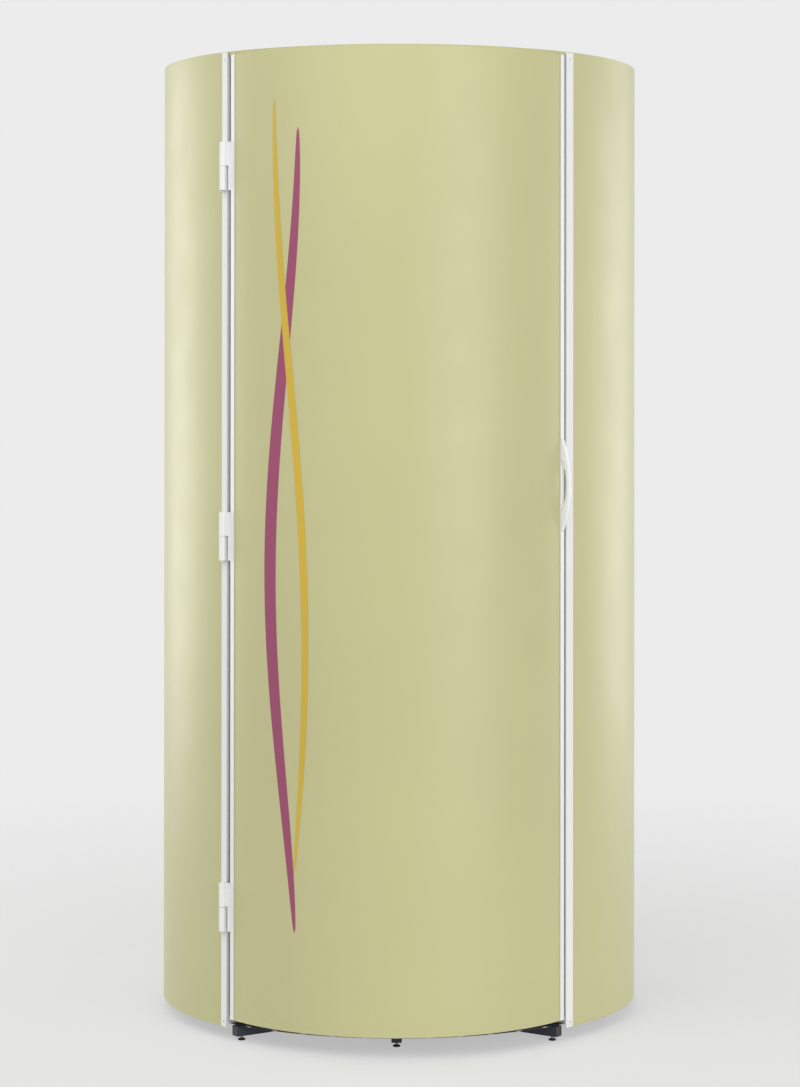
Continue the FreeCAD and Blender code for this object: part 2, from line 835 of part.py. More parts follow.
def casing():
    """Two curved side panels, and between the uprights a screwed service panel with vents."""
    skin = ("casing_radius - skin", "casing_radius", "casing_bottom", "casing_top")
    edge = past_jamb("groove_floor + 0.8", "casing_radius")
    bent_sheet(new_body("casing_right"), edge, "upright_half - seam_half", *skin)
    bent_sheet(new_body("casing_left"), "360 - upright_half + seam_half", f"360 - {edge}", *skin)
    panel = new_body("service_panel")
    bent_sheet(panel, "upright_half + seam_half", "360 - upright_half - seam_half", *skin)
    slot = rectangle("-vent_length / 2", "vent_length / 2", "vent_level", "vent_level + vent_height")
    slots = [sheet_hole(panel, slot, turn) for turn in ("180 - vent_turn", "180 + vent_turn")]
    upwards(panel, slots, "vent_rows", "vent_pitch * (vent_rows - 1)")
    screws = new_body("service_panel_screws")
    made = []
    for turn in ("upright_half + screw_inset", "360 - upright_half - screw_inset"):
        head = ("casing_radius + 0.02", "casing_radius + screw_height")
        made.append(peg(screws, (0, "screw_level"), "screw_head", *head, turn=turn, sides=6))
    upwards(screws, made, "screw_rows", "screw_pitch * (screw_rows - 1)")


# ---------------------------------------------------------------- roof and ceiling

HOUSING_SIDES = 20


def ceiling_pan():
    """Ceiling sheet on the upper lamp rail; in front it stops short of the door's wall."""
    pan = new_body("ceiling_pan")
    sketch = new_sketch(pan, "XY_Plane", "ceiling_level")
    edge = past_jamb("profile_lip + 0.4", "profile_inner")

    def spot(radius, angle):
        return plan([(f"{radius} * sin({angle})", f"{radius} * cos({angle})")])[0]

    for radius, middle in (("platform_radius", 0), ("rail_radius", 180)):
        draw_arc(sketch, spot(radius, f"-{edge}"), spot(radius, middle), spot(radius, edge), radius)
    for angle in (edge, f"-{edge}"):
        draw_line(sketch, spot("platform_radius", angle), spot("rail_radius", angle))
    draw_round(sketch, (0, 0), "grille_radius", HOUSING_SIDES)
    extrude(pan, sketch, "sheet")


def ceiling_grille():
    """Slotted sheet over the ceiling's air opening."""
    grille = new_body("ceiling_grille")
    low = "ceiling_level + sheet"
    disc(grille, (0, 0), "grille_radius + grille_rim", low, f"{low} + sheet", sides=HOUSING_SIDES)
    for k in range(int(value("grille_slots"))):
        middle = f"({k} - (grille_slots - 1) / 2) * grille_pitch"
        half = f"sqrt((grille_radius - 6) ^ 2 - (abs({middle}) + grille_slot / 2) ^ 2)"
        bar_gap = rectangle(f"-{half}", half, f"{middle} - grille_slot / 2", f"{middle} + grille_slot / 2")
        slab(grille, bar_gap, "ceiling_level", f"{low} + sheet", cut=True)


def roof_fascia():
    """Folded sheet that closes the roof void in front, over the ceiling's edge."""
    edge = past_jamb("profile_lip", "profile_inner")
    sheet = ("(fascia_radius - sheet)", "fascia_radius")
    levels = ("ceiling_level + sheet", "casing_top")
    folded_sheet(new_body("roof_fascia"), f"-{edge}", edge, *sheet, *levels, 8)


def roof():
    """Roof sheet on the casing's edge, the duct collar and the mains cable gland."""
    cap = new_body("roof_cap")
    bore = "collar_radius - sheet"
    disc(cap, (0, 0), "casing_radius", "casing_top", "roof_top")
    disc(cap, (0, 0), bore, "casing_top", "roof_top", cut=True, sides=HOUSING_SIDES)
    disc(cap, (0, "-gland_reach"), "gland_thread + 0.2", "casing_top", "roof_top", cut=True, sides=12)
    collar = new_body("duct_collar")
    half = "(collar_radius + collar_flange)"
    top = "roof_top + collar_height"
    slab(collar, rectangle(f"-{half}", half, f"-{half}", half), "roof_top", "roof_top + sheet")
    disc(collar, (0, 0), "collar_radius", "roof_top + sheet", top)
    disc(collar, (0, 0), bore, "roof_top", top, cut=True, sides=HOUSING_SIDES)
    gland = new_body("cable_gland", "180", "gland_reach")
    disc(gland, (0, 0), "gland_thread", "roof_top - 14", "roof_top", sides=12)
    disc(gland, (0, 0), "gland_nut", "roof_top", "roof_top + 8", sides=6)
    disc(gland, (0, 0), "gland_thread", "roof_top + 8", "roof_top + 22", sides=12)
    disc(gland, (0, 0), "gland_bore", "roof_top - 14", "roof_top + 22", cut=True)


def roof_void():
    """Electronic ballasts in a star round the fan, and the supply box behind."""
    low = "ceiling_level + sheet"
    ballasts = new_body("ballasts", "180 + ballast_pitch")
    block = slab(
        ballasts, rectangle("-ballast_width / 2", "ballast_width / 2", "ballast_near", "ballast_far"),
        low, f"{low} + ballast_height",
    )
    around(ballasts, [block], "ballast_count", "ballast_pitch * (ballast_count - 1)")
    box = rectangle("-supply_width / 2", "supply_width / 2", "ballast_far - supply_depth", "ballast_far")
    slab(new_body("supply_box", "180"), box, low, f"{low} + supply_height")


# ---------------------------------------------------------------- fan

BLADE_MIDDLE = "rotor_level + hub_height / 2"
HUB_TOP = "rotor_level + hub_height"
MOTOR_SIDES = 12


def fan_blade(rotor):
    """A cambered, pitched blade that widens outwards from the hub."""
    sketch = new_sketch(rotor, "YZ_Plane", "hub_radius - 4")

    def spot(along, rise):
        return (
            f"({along}) * cos(blade_pitch) - ({rise}) * sin(blade_pitch)",
            f"{BLADE_MIDDLE} + ({along}) * sin(blade_pitch) + ({rise}) * cos(blade_pitch)",
        )

    back = "blade_camber + blade_thickness"
    draw_polygon(sketch, [
        spot("-blade_chord / 2", 0), spot("-blade_chord / 6", "blade_camber"),
        spot("blade_chord / 6", "blade_camber"), spot("blade_chord / 2", 0),
        spot("blade_chord / 6", back), spot("-blade_chord / 6", back),
    ])
    features = [extrude(rotor, sketch, "rotor_radius - hub_radius + 4")]
    for side in (1, -1):
        wedge = [
            ("hub_radius + 1", f"{side} * root_width / 2"),
            ("rotor_radius + 1", f"{side} * blade_chord / 2"),
            ("hub_radius + 1", f"{side} * blade_chord / 2"),
        ]
        features.append(slab(rotor, wedge, "rotor_level - 4", f"{HUB_TOP} + 4", cut=True))
    return features


def fan_shroud():
    """Fan housing that hangs under the roof, with a motor ring on three arms."""
    shroud = new_body("fan_shroud")
    wall = "shroud_radius - sheet"
    disc(shroud, (0, 0), "shroud_radius", "shroud_bottom", "casing_top", bore=wall, sides=HOUSING_SIDES)
    levels = ("bracket_level", "bracket_level + bracket_sheet")
    disc(shroud, (0, 0), "motor_radius + 6", *levels, bore="motor_radius + 0.1", sides=MOTOR_SIDES)
    half = "bracket_width / 2"
    arm = slab(shroud, rectangle(f"-{half}", half, "motor_radius + 4", f"{wall} - 0.5"), *levels)
    around(shroud, [arm], 3)


def fan_motor():
    motor = new_body("fan_motor")
    top = "shroud_bottom + motor_height"
    disc(motor, (0, 0), "motor_radius", "shroud_bottom", top, sides=MOTOR_SIDES)
    disc(motor, (0, 0), "shaft_radius", top, f"{HUB_TOP} - hub_roof - 2", sides=12)


def fan_rotor():
    """Many-sided hub with its ring of blades."""
    rotor = new_body("fan_rotor")
    disc(rotor, (0, 0), "hub_radius", "rotor_level", HUB_TOP, sides=int(value("2 * blade_count")))
    disc(rotor, (0, 0), "shaft_radius + 0.3", "rotor_level", f"{HUB_TOP} - hub_roof", cut=True, sides=12)
    around(rotor, fan_blade(rotor), "blade_count")


# ---------------------------------------------------------------- door


def door():
    """Bulged skin between two edge profiles, with a folded header over the clear wall."""
    inset = "groove_floor + 0.8"
    faces = (bulge_arc("skin", inset), bulge_arc(0, inset))
    crescent(new_body("door_skin"), *faces, "door_bottom", "door_top")
    slope = f"tan({bulge_slope('door_strip / 2')})"
    for label, side in (("door_edge_handle_side", 1), ("door_edge_hinge_side", -1)):
        profile = new_body(label, f"{side} * door_half")
        slab(profile, profile_outline(-side, "door_strip", slope), "door_bottom", "door_top")
    edge = f"(door_half - {turn_of('profile_lip + 0.4', 'profile_inner')})"
    sheet = ("wall_inner", "(wall_inner + sheet)")
    folded_sheet(new_body("door_header"), f"-{edge}", edge, *sheet, "ceiling_level + 0.5", DOOR_LID, 8)


def handle():
    """Bow handle that stands square on the door's sloping strip."""
    slope = bulge_slope("door_strip / 2")
    body = new_body("bow_handle", f"door_half + {slope}", DOOR_CENTRE, 0)
    sketch = new_sketch(body, "YZ_Plane", "-handle_width / 2")
    face = (
        f"((strip_face - {DOOR_CENTRE} * cos(door_half)) * cos({slope})"
        f" + {DOOR_CENTRE} * sin(door_half) * sin({slope}))"
    )

    def spot(out, up):
        return (f"-({face} + {out})", f"handle_middle + ({up})")

    foot_low, foot_high = spot(0, "-handle_height / 2"), spot(0, "handle_height / 2")
    gap_low, gap_high = spot(0, "-handle_gap / 2"), spot(0, "handle_gap / 2")
    crest, palm = spot("handle_rise", 0), spot("handle_rise - handle_bow", 0)
    draw_arc(sketch, foot_low, crest, foot_high, arc_radius("handle_height", "handle_rise"))
    draw_line(sketch, foot_high, gap_high)
    draw_arc(sketch, gap_high, palm, gap_low, arc_radius("handle_gap", "handle_rise - handle_bow"))
    draw_line(sketch, gap_low, foot_low)
    extrude(body, sketch, "handle_width")


def catches():
    """Magnetic catches on the jamb, and the steel plates they hold on the door's edge."""
    reach = ("catch_near", "catch_near + catch_width")
    levels = ("catch_bottom", "catch_bottom + catch_height")
    magnets = new_body("catch_magnets", "jamb_half")
    plates = new_body("catch_plates", "door_half")
    made = slab(magnets, rectangle("-catch_depth", 0, *reach), *levels)
    upwards(magnets, [made], 2, "catch_top - catch_bottom")
    made = slab(plates, rectangle(0, "sheet", *reach), *levels)
    upwards(plates, [made], 2, "catch_top - catch_bottom")


HINGE_LOW = "hinge_middle - hinge_spacing - hinge_height / 2"
HINGE_SPLIT = "hinge_middle - hinge_spacing"
HINGE_TOP = "hinge_middle - hinge_spacing + hinge_height / 2"
PIN_BORE = "(pin_radius + pin_clearance) / cos(180 / 12)"


def hinge_spot(half):
    """The pin's place in the frame of a radial plane at the angle given."""
    return (f"-hinge_axis * sin(hinge_turn - {half})", f"hinge_axis * cos(hinge_turn - {half})")


def three_up(body, features):
    upwards(body, features, 3, "2 * hinge_spacing")


def hinges():
    """Three lift-off hinges: lower knuckles and collared pins on the jamb, upper ones on the door."""
    lower = new_body("hinge_lower_knuckles", "-jamb_half")
    across, out = hinge_spot("jamb_half")
    knuckle_top = f"{HINGE_SPLIT} - washer / 2"
    saddle = rectangle(f"{across} - barrel_radius", f"{across} + barrel_radius", "strip_face", out)
    three_up(lower, [
        disc(lower, (across, out), "barrel_radius", HINGE_LOW, knuckle_top, sides=12),
        slab(lower, saddle, HINGE_LOW, knuckle_top),
        disc(lower, (across, out), PIN_BORE, HINGE_LOW, knuckle_top, cut=True, sides=12),
    ])

    pins = new_body("hinge_pins", "-hinge_turn", "hinge_axis")
    three_up(pins, [
        disc(pins, (0, 0), "pin_radius", HINGE_LOW, f"{HINGE_TOP} - 3", sides=8),
        disc(pins, (0, 0), "barrel_radius - 0.3", knuckle_top, f"{HINGE_SPLIT} + washer / 2", sides=12),
    ])

    upper = new_body("hinge_upper_knuckles", "-door_half")
    across, out = hinge_spot("door_half")
    seat = f"{HINGE_SPLIT} + washer / 2 + pin_clearance"
    leaf_out = ("strip_face + 0.5", "strip_face + 0.5 + leaf")
    three_up(upper, [
        disc(upper, (across, out), "barrel_radius", seat, HINGE_TOP, sides=12),
        slab(upper, rectangle(across, 0, *leaf_out), seat, HINGE_TOP),
        slab(upper, rectangle(f"{across} + barrel_radius + 0.6", 0, *leaf_out), HINGE_LOW, seat),
        slab(upper, rectangle("-leaf", 0, "leaf_near", leaf_out[0]), HINGE_LOW, HINGE_TOP),
        disc(upper, (across, out), PIN_BORE, seat, f"{HINGE_TOP} - 2", cut=True, sides=12),
    ])


# ---------------------------------------------------------------- controls


def controls():
    """A pod on the rear right mullion with a start and a stop button that press outwards."""
    pod = new_body("control_pod", "upright_half")
    body = rectangle("-pod_width / 2", "pod_width / 2", "pod_face", "platform_radius + 0.5")
    slab(pod, body, "pod_level - pod_height / 2", "pod_level + pod_height / 2")
    for label, side in (("stop_button", 1), ("start_button", -1)):
        spot = (0, f"pod_level + {side} * button_spacing / 2")
        well = ("pod_face - 1", "pod_face + button_depth + 2")
        peg(pod, spot, "button_radius + button_room", *well, cut=True, sides=16)
        button = new_body(label, "upright_half")
        near = "pod_face - button_rise"
        peg(button, spot, "button_radius", near, f"{near} + button_depth", sides=16)


def main():
    base_beams()
    beam_ends()
    feet()
    floor()
    jambs()
    jamb_seals()
    rings()
    uprights()
    lamp_rails()
    lamps()
    walls()
    mullions()
    casing()
    ceiling_pan()
    ceiling_grille()
    roof_fascia()
    roof()
    roof_void()
    fan_shroud()
    fan_motor()
    fan_rotor()
    door()
    door_crossmembers()
    handle()
    catches()
    hinges()
    controls()
    doc.recompute()
    for thing in doc.Objects:
        if "Invalid" in thing.State or "Error" in thing.State:
            raise RuntimeError(f"{thing.Label} failed: {thing.State}")
    os.makedirs("parts", exist_ok=True)
    for body in parts:
        if body.Shape.isNull() or not body.Shape.isValid():
            raise RuntimeError(f"{body.Label} has no valid shape")
        body.Shape.exportStep(f"parts/{body.Label}.step")
    print(len(parts), "sub-parts written")


main()
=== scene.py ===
import json
import math

import bmesh
import bpy
from mathutils import Matrix, Vector
from mathutils.bvhtree import BVHTree


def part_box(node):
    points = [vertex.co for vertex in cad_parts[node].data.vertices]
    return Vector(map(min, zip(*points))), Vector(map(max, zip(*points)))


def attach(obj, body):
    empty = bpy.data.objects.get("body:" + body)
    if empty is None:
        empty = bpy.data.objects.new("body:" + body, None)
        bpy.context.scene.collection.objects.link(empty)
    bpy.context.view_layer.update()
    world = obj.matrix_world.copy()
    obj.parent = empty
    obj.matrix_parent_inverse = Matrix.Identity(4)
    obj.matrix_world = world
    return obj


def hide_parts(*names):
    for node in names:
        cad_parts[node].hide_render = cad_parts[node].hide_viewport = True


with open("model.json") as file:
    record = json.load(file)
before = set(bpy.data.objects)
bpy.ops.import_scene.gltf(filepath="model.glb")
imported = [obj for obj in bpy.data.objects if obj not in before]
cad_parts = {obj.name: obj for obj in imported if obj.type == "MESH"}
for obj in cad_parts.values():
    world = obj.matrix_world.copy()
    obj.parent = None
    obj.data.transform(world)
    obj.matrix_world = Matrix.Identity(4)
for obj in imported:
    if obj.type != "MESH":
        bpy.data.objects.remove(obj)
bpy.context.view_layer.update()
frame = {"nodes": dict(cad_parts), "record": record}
MM = 0.001

# ---------------------------------------------------------------- node trees


class Finish:
    """A material whose nodes are added one call at a time."""

    def __init__(self, name, roughness=0.5, metallic=0.0, **sockets):
        self.material = bpy.data.materials.new(name)
        self.material.use_nodes = True
        self.tree = self.material.node_tree
        self.tree.nodes.clear()
        self.shader = self.tree.nodes.new("ShaderNodeBsdfPrincipled")
        output = self.tree.nodes.new("ShaderNodeOutputMaterial")
        self.tree.links.new(self.shader.outputs[0], output.inputs["Surface"])
        self.put(self.shader, {"Roughness": roughness, "Metallic": metallic})
        self.put(self.shader, {key.replace("_", " "): value for key, value in sockets.items()})
        self.place = self.tree.nodes.new("ShaderNodeTexCoord").outputs["Object"]

    def put(self, node, values):
        for key, value in values.items():
            if isinstance(value, bpy.types.NodeSocket):
                self.tree.links.new(value, node.inputs[key])
            else:
                node.inputs[key].default_value = value

    def node(self, kind, values, output=0, **settings):
        made = self.tree.nodes.new("ShaderNode" + kind)
        for key, value in settings.items():
            setattr(made, key, value)
        self.put(made, values)
        return made.outputs[output]

    def stretched(self, scale):
        return self.node("Mapping", {"Vector": self.place, "Scale": scale})

    def noise(self, scale, detail, place=None):
        values = {"Vector": place or self.place, "Scale": scale, "Detail": detail, "Roughness": 0.5}
        return self.node("TexNoise", values, "Fac")

    def ramp(self, value, low, high, out_low, out_high):
        values = {0: value, 1: low, 2: high, 3: out_low, 4: out_high}
        return self.node("MapRange", values)

    def mix(self, factor, first, second):
        made = self.tree.nodes.new("ShaderNodeMix")
        made.data_type = "RGBA"
        self.put(made, {0: factor, 6: first, 7: second})
        return made.outputs[2]

    def colour(self, value):
        self.put(self.shader, {"Base Color": value})

    def rough(self, value):
        self.put(self.shader, {"Roughness": value})

    def bump(self, height, strength, distance):
        values = {"Height": height, "Strength": strength, "Distance": distance}
        self.put(self.shader, {"Normal": self.node("Bump", values)})


def shade(colour, factor):
    return tuple(channel * factor for channel in colour) + (1.0,)


# ---------------------------------------------------------------- finishes


def powder_coat(name, colour, roughness, drift=0.03, peel=0.12):
    """Satin powder coat: faint drift of tone, fine orange peel, uneven gloss."""
    finish = Finish(name, Specular_IOR_Level=0.5)
    cloud = finish.noise(1.6, 3.0)
    speck = finish.noise(420.0, 1.0)
    tone = finish.ramp(cloud, 0.3, 0.7, 0.0, 1.0)
    finish.colour(finish.mix(tone, shade(colour, 1.0 - drift), shade(colour, 1.0 + drift)))
    finish.rough(finish.ramp(finish.noise(9.0, 4.0), 0.3, 0.7, roughness - 0.03, roughness + 0.04))
    finish.bump(speck, peel, 0.0004)
    return finish.material


def bare_metal(name, colour, roughness, stretch, grain=0.25):
    """Rolled or turned metal with fine lines along one direction."""
    finish = Finish(name, metallic=1.0)
    lines = finish.noise(60.0, 3.0, finish.stretched(stretch))
    spangle = finish.node("TexVoronoi", {"Vector": finish.place, "Scale": 90.0}, "Distance")
    tone = finish.ramp(spangle, 0.0, 0.8, 0.0, 1.0)
    finish.colour(finish.mix(tone, shade(colour, 0.88), shade(colour, 1.08)))
    finish.rough(finish.ramp(lines, 0.3, 0.7, roughness - 0.06, roughness + 0.08))
    finish.bump(lines, grain, 0.0002)
    return finish.material


def moulded_plastic(name, colour, roughness, grain=0.3):
    """Injection-moulded plastic with a fine spark-eroded grain."""
    finish = Finish(name)
    cloud = finish.noise(14.0, 2.0)
    finish.colour(finish.mix(cloud, shade(colour, 0.94), shade(colour, 1.06)))
    finish.rough(finish.ramp(cloud, 0.3, 0.7, roughness - 0.04, roughness + 0.05))
    finish.bump(finish.noise(1500.0, 1.0), grain, 0.0002)
    return finish.material


def ribbed_rubber(name, colour):
    """Floor mat rubber with round studs in rows."""
    finish = Finish(name, roughness=0.75)
    dust = finish.noise(11.0, 5.0)
    tone = finish.ramp(dust, 0.35, 0.8, 0.0, 1.0)
    finish.colour(finish.mix(tone, shade(colour, 1.0), shade(colour, 2.2)))
    rows = {"Vector": finish.place, "Scale": 62.0, "Randomness": 0.0}
    studs = finish.node("TexVoronoi", rows, "Distance")
    finish.bump(finish.ramp(studs, 0.28, 0.36, 1.0, 0.0), 0.8, 0.0012)
    return finish.material


# Pale grey for the deck's rim: a painted highlight where the edge catches light.
PAINTED_RIM_HIGHLIGHT = (0.50, 0.51, 0.52, 1.0)


def edged_deck(name, colour, rim):
    """Deck plate in dark paint, with a pale grey band at its rim as a painted highlight where the edge
    catches light.
    """
    finish = Finish(name, Specular_IOR_Level=0.5)
    flat = finish.stretched((1.0, 1.0, 0.0))
    reach = finish.node("VectorMath", {0: flat}, "Value", operation="LENGTH")
    # The outermost band of the deck turns pale grey: painted highlight on the rim.
    rim_highlight_mask = finish.ramp(reach, rim - 0.5 * MM, rim - 0.2 * MM, 0.0, 1.0)
    finish.colour(finish.mix(rim_highlight_mask, shade(colour, 1.0), PAINTED_RIM_HIGHLIGHT))
    finish.rough(finish.ramp(finish.noise(40.0, 4.0), 0.3, 0.7, 0.38, 0.50))
    return finish.material


def clear_sheet(name):
    """Clear acrylic with faint wiping marks."""
    finish = Finish(name, Transmission_Weight=1.0, IOR=1.49)
    finish.colour((0.96, 0.98, 0.98, 1.0))
    wipes = finish.noise(7.0, 5.0, finish.stretched((1.0, 1.0, 0.3)))
    finish.rough(finish.ramp(wipes, 0.4, 0.8, 0.02, 0.09))
    return finish.material


PHOSPHOR = (0.80, 0.84, 0.93, 1.0)
DARK_PHOSPHOR = (0.38, 0.38, 0.42, 1.0)
DARK_END = 0.06


def lamp_tube(name):
    """Fluorescent tube: phosphor-white glass with a blue cast and darker ends."""
    finish = Finish(name, roughness=0.16, Coat_Weight=0.6, Coat_Roughness=0.04)
    height = finish.node("SeparateXYZ", {0: finish.place}, "Z")
    low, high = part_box("cabin_lamps")
    span = high.z - low.z
    end = finish.node("Math", {0: height, 1: (low.z + high.z) / 2}, operation="SUBTRACT")
    end = finish.node("Math", {0: end}, operation="ABSOLUTE")
    fade = finish.ramp(end, span / 2 - DARK_END, span / 2, 0.0, 1.0)
    finish.colour(finish.mix(fade, PHOSPHOR, DARK_PHOSPHOR))
    finish.bump(finish.noise(300.0, 1.0), 0.03, 0.0002)
    return finish.material


FINISHES = {
    "casing_paint": powder_coat("casing_paint", (0.555, 0.538, 0.278), 0.40),
    "profile_white": powder_coat("profile_white", (0.86, 0.86, 0.86), 0.34, 0.01),
    "base_paint": powder_coat("base_paint", (0.022, 0.028, 0.040), 0.45, 0.15, 0.2),
    "deck_plate": edged_deck("deck_plate", (0.022, 0.028, 0.040), 0.52),
    "platform_board": moulded_plastic("platform_board", (0.075, 0.075, 0.08), 0.4, 0.2),
    "bare_steel": bare_metal("bare_steel", (0.60, 0.61, 0.62), 0.38, (1.0, 1.0, 14.0)),
    # Dark steel for the rear uprights: painted shade, so the casing seams in front of them read dark.
    "seam_shade_steel": bare_metal("seam_shade_steel", (0.20, 0.20, 0.21), 0.62, (1.0, 1.0, 14.0)),
    "bright_aluminium": bare_metal(
        "bright_aluminium", (0.86, 0.86, 0.88), 0.18, (12.0, 12.0, 0.4), 0.12
    ),
    "clear_acrylic": clear_sheet("clear_acrylic"),
    "lamp_glass": lamp_tube("lamp_glass"),
    "white_plastic": moulded_plastic("white_plastic", (0.80, 0.80, 0.78), 0.45),
    "black_plastic": moulded_plastic("black_plastic", (0.022, 0.022, 0.025), 0.5),
    "black_rubber": ribbed_rubber("black_rubber", (0.018, 0.018, 0.020)),
    "stop_red": moulded_plastic("stop_red", (0.55, 0.025, 0.02), 0.25, 0.1),
    "start_green": moulded_plastic("start_green", (0.03, 0.34, 0.08), 0.25, 0.1),
    "motor_iron": powder_coat("motor_iron", (0.05, 0.055, 0.06), 0.55, 0.1, 0.6),
    "mustard_film": powder_coat("mustard_film", (0.64, 0.44, 0.045), 0.30, 0.05, 0.05),
    "plum_film": powder_coat("plum_film", (0.33, 0.065, 0.145), 0.30, 0.05, 0.05),
}


# Films on the casing have no slot of their own, and two nodes have a variant of their slot's finish:
# the deck plate with a painted highlight at its rim, and the rear uprights in darkened steel, painted
# shade for the casing seams they show through.
OWN_FINISH = {"base_deck": "deck_plate", "rear_uprights": "seam_shade_steel"}


def dress_nodes():
    """Every carried-over node gets the finish of its slot, or a variant of it."""
    for row in frame["record"]["subparts"]:
        body = frame["nodes"][row["node"]]
        finish = OWN_FINISH.get(row["node"], row["material_slot"])
        body.data.materials.clear()
        body.data.materials.append(FINISHES[finish])


# ---------------------------------------------------------------- geometry helpers

SHARP_ANGLE = 35.0
BEVEL_ANGLE = 40.0
WELD_REACH = 0.005


def new_piece(name, mesh, finish, body):
    piece = bpy.data.objects.new(name, mesh)
    bpy.context.collection.objects.link(piece)
    mesh.materials.append(FINISHES[finish])
    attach(piece, body)
    return piece


def to_mesh(name, work):
    mesh = bpy.data.meshes.new(name)
    bmesh.ops.recalc_face_normals(work, faces=work.faces)
    work.to_mesh(mesh)
    work.free()
    mesh.shade_smooth()
    mesh.set_sharp_from_angle(angle=math.radians(SHARP_ANGLE))
    return mesh


def at(x, y, z, turn=0.0):
    """A place in millimetres, turned about the upright axis."""
    return Matrix.Translation(Vector((x, y, z)) * MM) @ Matrix.Rotation(math.radians(turn), 4, "Z")


def round_the_axis(angle, reach, height):
    """A place at an angle round the drum, from the door's middle, facing outwards."""
    turn = math.radians(angle)
    return at(reach * math.sin(turn), -reach * math.cos(turn), height, angle)


LYING = Matrix.Rotation(math.radians(90.0), 4, "X")


def lathe(work, profile, place, steps=32):
    """A turned solid or shell from (radius, height) points, in millimetres."""
    rings = []
    for radius, height in profile:
        count = 1 if radius == 0.0 else steps
        ring = []
        for k in range(count):
            turn = 2.0 * math.pi * k / steps
            spot = Vector((radius * math.cos(turn), radius * math.sin(turn), height)) * MM
            ring.append(work.verts.new(place @ spot))
        rings.append(ring)
    for lower, upper in zip(rings, rings[1:]):
        for k in range(steps):
            corners = [lower[k % len(lower)], lower[(k + 1) % len(lower)]]
            corners += [upper[(k + 1) % len(upper)], upper[k % len(upper)]]
            corners = list(dict.fromkeys(corners))
            if len(corners) > 2:
                work.faces.new(corners)


def prism(work, outline, low, high, place):
    """A flat outline, in millimetres, made solid between two heights."""
    ends = []
    for height in (low, high):
        ends.append([work.verts.new(place @ (Vector((x, y, height)) * MM)) for x, y in outline])
    work.faces.new(ends[0])
    work.faces.new(ends[1])
    for k in range(len(outline)):
        after = (k + 1) % len(outline)
        work.faces.new((ends[0][k], ends[0][after], ends[1][after], ends[1][k]))


def polygon(sides, reach):
    turns = [math.radians(360.0 * k / sides) for k in range(sides)]
    return [(reach * math.cos(turn), reach * math.sin(turn)) for turn in turns]


def soften(body, width):
    """Small rounded edges on a mesh whose faces may be split at their edges."""
    weld = body.modifiers.new("weld", "WELD")
    weld.merge_threshold = WELD_REACH * MM
    bevel = body.modifiers.new("bevel", "BEVEL")
    bevel.width = width * MM
    bevel.segments = 2
    bevel.limit_method = "ANGLE"
    bevel.angle_limit = math.radians(BEVEL_ANGLE)
    bevel.harden_normals = False


def finished(name, work, finish, body, stands_for=(), edge=0.0):
    """The bmesh as a piece of the object that rides, and may stand for CAD nodes."""
    piece = new_piece(name, to_mesh(name, work), finish, body)
    if stands_for:
        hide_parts(*stands_for)
    if edge:
        soften(piece, edge)
    return piece


def surface_of(node):
    """A search tree over a node's mesh."""
    mesh = frame["nodes"][node].data
    return BVHTree.FromPolygons([v.co for v in mesh.vertices], [p.vertices for p in mesh.polygons])


# ---------------------------------------------------------------- door ribbons

RIBBON_STEPS = 150
RIBBON_ACROSS = (-1.0, -0.33, 0.33, 1.0)
RIBBON_TIP = 0.4
IN_FRONT = -2.0


def door_ribbon(name, finish, middle, sway, turns, phase, width, span, lift):
    """A long smooth ribbon of film on the door's skin, pointed at both ends.

    Its middle sways to and fro over a number of turns, within a span of the door's height.
    """
    skin = surface_of("door_skin")
    low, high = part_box("door_skin")
    work = bmesh.new()
    rows = []
    for step in range(RIBBON_STEPS + 1):
        share = step / RIBBON_STEPS
        level = low.z + (high.z - low.z) * (span[0] + (span[1] - span[0]) * share)
        centre = middle + sway * math.sin(2.0 * math.pi * (turns * share + phase))
        half = width / 2.0 * max(math.sin(math.pi * share), 0.0) ** RIBBON_TIP
        row = []
        for side in RIBBON_ACROSS:
            start = Vector(((centre + side * half) * MM, IN_FRONT, level))
            hit = skin.ray_cast(start, Vector((0.0, 1.0, 0.0)))[0]
            row.append(work.verts.new(hit - Vector((0.0, lift * MM, 0.0))))
        rows.append(row)
    for lower, upper in zip(rows, rows[1:]):
        for k in range(len(RIBBON_ACROSS) - 1):
            work.faces.new((lower[k], lower[k + 1], upper[k + 1], upper[k]))
    bmesh.ops.remove_doubles(work, verts=work.verts, dist=1e-6)
    finished(name, work, finish, "door")


def door_ribbons():
    """Two plain ribbons of film that cross high and low on the door."""
    door_ribbon("ribbon_plum", "plum_film", -238.0, 30.0, 0.9, 0.35, 25.0, (0.10, 0.92), 0.25)
    door_ribbon("ribbon_mustard", "mustard_film", -226.0, 34.0, 0.7, 0.05, 16.0, (0.16, 0.95), 0.45)


# ---------------------------------------------------------------- hinges

HINGE_ANGLE = -43.6
HINGE_REACH = 544.2
HINGE_LEVELS = (286.0, 1081.0, 1876.0)
HINGE_HALF = 52.0
BARREL = 7.0
BROKEN_EDGE = 0.6
HINGE_GAP_TOP = 0.6
HINGE_GAP_LOW = -0.5
# Outlines from above, x along the casing towards the door and y inwards, from the hinge's axis.
FLANGE = [(4.0, 3.4), (16.4, 4.3), (15.6, 32.3), (12.7, 32.3), (13.3, 7.2), (4.0, 7.0)]
LEAF = [(12.0, 4.2), (16.4, 4.3), (15.6, 32.3), (12.7, 32.3), (13.3, 7.2), (12.0, 7.2)]
BLOCK = [(-6.9, 0.0), (6.9, 0.0), (6.9, 7.5), (-6.9, 7.5)]


def knuckle(work, low, high, place):
    """A solid hinge knuckle with broken edges."""
    profile = [(0.0, low), (BARREL - BROKEN_EDGE, low), (BARREL, low + BROKEN_EDGE)]
    profile += [(BARREL, high - BROKEN_EDGE), (BARREL - BROKEN_EDGE, high), (0.0, high)]
    lathe(work, profile, place)


